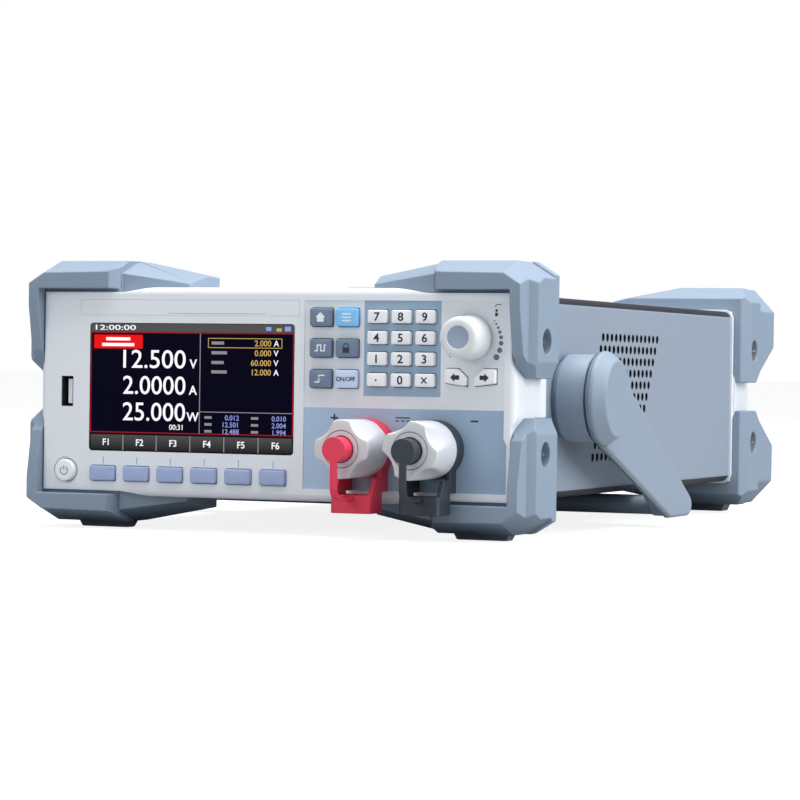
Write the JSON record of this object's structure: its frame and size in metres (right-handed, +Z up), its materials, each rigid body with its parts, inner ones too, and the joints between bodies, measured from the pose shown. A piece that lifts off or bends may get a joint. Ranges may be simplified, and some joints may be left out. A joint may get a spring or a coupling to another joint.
{
  "type": "dc electronic load",
  "caption": "Bench DC electronic load in a half-width case with corner bumpers, screen, keypad, rotary knob, capped input terminals and a swing handle that props the front.",
  "frame": {"origin": "on the surface that the feet stand on, under the middle of the bounding box", "axes": "+X to the right seen from the front, +Y from the front panel to the back, +Z up"},
  "size_m": [0.2624, 0.3966, 0.115],
  "materials": {
    "shell": "fine satin moulding",
    "overlay": "printed matt film",
    "screen": "glossy dark window",
    "steel": "plated steel",
    "board": "solder-masked board",
    "softkey": "satin",
    "function_key": "satin",
    "menu_key": "satin",
    "output_key": "satin",
    "pale_key": "satin",
    "knob": "satin, ribbed side",
    "knob_insert": "matt",
    "red_cover": "soft satin",
    "black_cover": "soft satin",
    "terminal": "satin",
    "bumper": "fine matt texture",
    "case_paint": "fine powder coat",
    "handle": "fine matt texture",
    "dark_plastic": "matt",
    "heat_sink": "extruded"
  },
  "bodies": {
    "case": {"front_panel": "shell", "rear_panel": "shell", "control_overlay": "overlay", "display_window": "screen", "display_module": "steel", "usb_socket": "steel", "bumper_screws": "steel", "chassis": "steel", "key_board": "board", "main_board": "board", "terminal_shroud_pos": "red_cover", "terminal_shroud_neg": "black_cover", "terminal_studs": "terminal", "upper_front_bumpers": "bumper", "lower_front_bumpers": "bumper", "rear_bumpers": "bumper", "case_cover": "case_paint", "handle_hubs": "handle", "fan_frame": "dark_plastic", "mains_inlet": "dark_plastic", "heat_sink": "heat_sink"},
    "softkey_1": {"softkey_1": "softkey"},
    "softkey_2": {"softkey_2": "softkey"},
    "softkey_3": {"softkey_3": "softkey"},
    "softkey_4": {"softkey_4": "softkey"},
    "softkey_5": {"softkey_5": "softkey"},
    "softkey_6": {"softkey_6": "softkey"},
    "key_home": {"key_home": "function_key"},
    "key_menu": {"key_menu": "menu_key"},
    "key_mode": {"key_mode": "function_key"},
    "key_lock": {"key_lock": "function_key"},
    "key_trigger": {"key_trigger": "function_key"},
    "key_on_off": {"key_on_off": "output_key"},
    "key_0": {"key_0": "pale_key"},
    "key_1": {"key_1": "pale_key"},
    "key_2": {"key_2": "pale_key"},
    "key_3": {"key_3": "pale_key"},
    "key_4": {"key_4": "pale_key"},
    "key_5": {"key_5": "pale_key"},
    "key_6": {"key_6": "pale_key"},
    "key_7": {"key_7": "pale_key"},
    "key_8": {"key_8": "pale_key"},
    "key_9": {"key_9": "pale_key"},
    "key_point": {"key_point": "pale_key"},
    "key_esc": {"key_esc": "pale_key"},
    "key_left": {"key_left": "pale_key"},
    "key_right": {"key_right": "pale_key"},
    "power_button": {"power_button": "pale_key"},
    "encoder_rotor": {"encoder_rotor": "steel"},
    "knob": {"knob": "knob", "knob_cap": "knob_insert", "encoder_shaft": "steel"},
    "washer_pos": {"terminal_washer_pos": "steel"},
    "washer_neg": {"terminal_washer_neg": "steel"},
    "nut_pos": {"terminal_nut_pos": "terminal"},
    "nut_neg": {"terminal_nut_neg": "terminal"},
    "cap_pos": {"terminal_cap_pos": "red_cover"},
    "cap_neg": {"terminal_cap_neg": "black_cover"},
    "handle": {"handle": "handle"},
    "fan_rotor": {"fan_rotor": "dark_plastic"}
  },
  "joints": [
    {"name": "press_softkey_1", "type": "slide", "parent": "case", "child": "softkey_1", "axis": [0, 1, 0], "range_m": [0, 0.0009], "stiffness_N_per_m": 800},
    {"name": "press_softkey_2", "type": "slide", "parent": "case", "child": "softkey_2", "axis": [0, 1, 0], "range_m": [0, 0.0009], "stiffness_N_per_m": 800},
    {"name": "press_softkey_3", "type": "slide", "parent": "case", "child": "softkey_3", "axis": [0, 1, 0], "range_m": [0, 0.0009], "stiffness_N_per_m": 800},
    {"name": "press_softkey_4", "type": "slide", "parent": "case", "child": "softkey_4", "axis": [0, 1, 0], "range_m": [0, 0.0009], "stiffness_N_per_m": 800},
    {"name": "press_softkey_5", "type": "slide", "parent": "case", "child": "softkey_5", "axis": [0, 1, 0], "range_m": [0, 0.0009], "stiffness_N_per_m": 800},
    {"name": "press_softkey_6", "type": "slide", "parent": "case", "child": "softkey_6", "axis": [0, 1, 0], "range_m": [0, 0.0009], "stiffness_N_per_m": 800},
    {"name": "press_key_home", "type": "slide", "parent": "case", "child": "key_home", "axis": [0, 1, 0], "range_m": [0, 0.0009], "stiffness_N_per_m": 800},
    {"name": "press_key_menu", "type": "slide", "parent": "case", "child": "key_menu", "axis": [0, 1, 0], "range_m": [0, 0.0009], "stiffness_N_per_m": 800},
    {"name": "press_key_mode", "type": "slide", "parent": "case", "child": "key_mode", "axis": [0, 1, 0], "range_m": [0, 0.0009], "stiffness_N_per_m": 800},
    {"name": "press_key_lock", "type": "slide", "parent": "case", "child": "key_lock", "axis": [0, 1, 0], "range_m": [0, 0.0009], "stiffness_N_per_m": 800},
    {"name": "press_key_trigger", "type": "slide", "parent": "case", "child": "key_trigger", "axis": [0, 1, 0], "range_m": [0, 0.0009], "stiffness_N_per_m": 800},
    {"name": "press_key_on_off", "type": "slide", "parent": "case", "child": "key_on_off", "axis": [0, 1, 0], "range_m": [0, 0.0009], "stiffness_N_per_m": 800},
    {"name": "press_key_0", "type": "slide", "parent": "case", "child": "key_0", "axis": [0, 1, 0], "range_m": [0, 0.0009], "stiffness_N_per_m": 800},
    {"name": "press_key_1", "type": "slide", "parent": "case", "child": "key_1", "axis": [0, 1, 0], "range_m": [0, 0.0009], "stiffness_N_per_m": 800},
    {"name": "press_key_2", "type": "slide", "parent": "case", "child": "key_2", "axis": [0, 1, 0], "range_m": [0, 0.0009], "stiffness_N_per_m": 800},
    {"name": "press_key_3", "type": "slide", "parent": "case", "child": "key_3", "axis": [0, 1, 0], "range_m": [0, 0.0009], "stiffness_N_per_m": 800},
    {"name": "press_key_4", "type": "slide", "parent": "case", "child": "key_4", "axis": [0, 1, 0], "range_m": [0, 0.0009], "stiffness_N_per_m": 800},
    {"name": "press_key_5", "type": "slide", "parent": "case", "child": "key_5", "axis": [0, 1, 0], "range_m": [0, 0.0009], "stiffness_N_per_m": 800},
    {"name": "press_key_6", "type": "slide", "parent": "case", "child": "key_6", "axis": [0, 1, 0], "range_m": [0, 0.0009], "stiffness_N_per_m": 800},
    {"name": "press_key_7", "type": "slide", "parent": "case", "child": "key_7", "axis": [0, 1, 0], "range_m": [0, 0.0009], "stiffness_N_per_m": 800},
    {"name": "press_key_8", "type": "slide", "parent": "case", "child": "key_8", "axis": [0, 1, 0], "range_m": [0, 0.0009], "stiffness_N_per_m": 800},
    {"name": "press_key_9", "type": "slide", "parent": "case", "child": "key_9", "axis": [0, 1, 0], "range_m": [0, 0.0009], "stiffness_N_per_m": 800},
    {"name": "press_key_point", "type": "slide", "parent": "case", "child": "key_point", "axis": [0, 1, 0], "range_m": [0, 0.0009], "stiffness_N_per_m": 800},
    {"name": "press_key_esc", "type": "slide", "parent": "case", "child": "key_esc", "axis": [0, 1, 0], "range_m": [0, 0.0009], "stiffness_N_per_m": 800},
    {"name": "press_key_left", "type": "slide", "parent": "case", "child": "key_left", "axis": [0, 1, 0], "range_m": [0, 0.0009], "stiffness_N_per_m": 800},
    {"name": "press_key_right", "type": "slide", "parent": "case", "child": "key_right", "axis": [0, 1, 0], "range_m": [0, 0.0009], "stiffness_N_per_m": 800},
    {"name": "press_power_button", "type": "slide", "parent": "case", "child": "power_button", "axis": [0, 1, 0], "range_m": [0, 0.0009], "stiffness_N_per_m": 800},
    {"name": "knob_turn", "type": "hinge", "parent": "case", "child": "encoder_rotor", "pos_m": [0.0896, -0.15665, 0.0832], "axis": [0, 1, 0], "continuous": true},
    {"name": "knob_push", "type": "slide", "parent": "encoder_rotor", "child": "knob", "axis": [0, 1, 0], "range_m": [0, 0.0007], "stiffness_N_per_m": 1500},
    {"name": "nut_lift_pos", "type": "slide", "parent": "case", "child": "washer_pos", "axis": [0, -1, 0], "range_m": [0, 0.0025]},
    {"name": "nut_turn_pos", "type": "hinge", "parent": "washer_pos", "child": "nut_pos", "pos_m": [0.045, -0.18065, 0.0375], "axis": [0, -1, 0], "range_deg": [0, 720]},
    {"name": "cap_open_pos", "type": "hinge", "parent": "case", "child": "cap_pos", "pos_m": [0.045, -0.18325, 0.0175], "axis": [1, 0, 0], "range_deg": [0, 75]},
    {"name": "nut_lift_neg", "type": "slide", "parent": "case", "child": "washer_neg", "axis": [0, -1, 0], "range_m": [0, 0.0025]},
    {"name": "nut_turn_neg", "type": "hinge", "parent": "washer_neg", "child": "nut_neg", "pos_m": [0.075, -0.18065, 0.0375], "axis": [0, -1, 0], "range_deg": [0, 720]},
    {"name": "cap_open_neg", "type": "hinge", "parent": "case", "child": "cap_neg", "pos_m": [0.075, -0.18325, 0.0175], "axis": [1, 0, 0], "range_deg": [0, 75]},
    {"name": "handle_swing", "type": "hinge", "parent": "case", "child": "handle", "pos_m": [0, -0.09765, 0.059], "axis": [-1, 0, 0], "range_deg": [0, 300]},
    {"name": "fan_spin", "type": "hinge", "parent": "case", "child": "fan_rotor", "pos_m": [-0.042, 0.16335, 0.059], "axis": [0, 1, 0], "continuous": true}
  ],
  "couplings": [
    {"joint": "nut_turn_pos", "follows": "nut_lift_pos", "rad_per_m": 5026.5},
    {"joint": "nut_turn_neg", "follows": "nut_lift_neg", "rad_per_m": 5026.5}
  ]
}
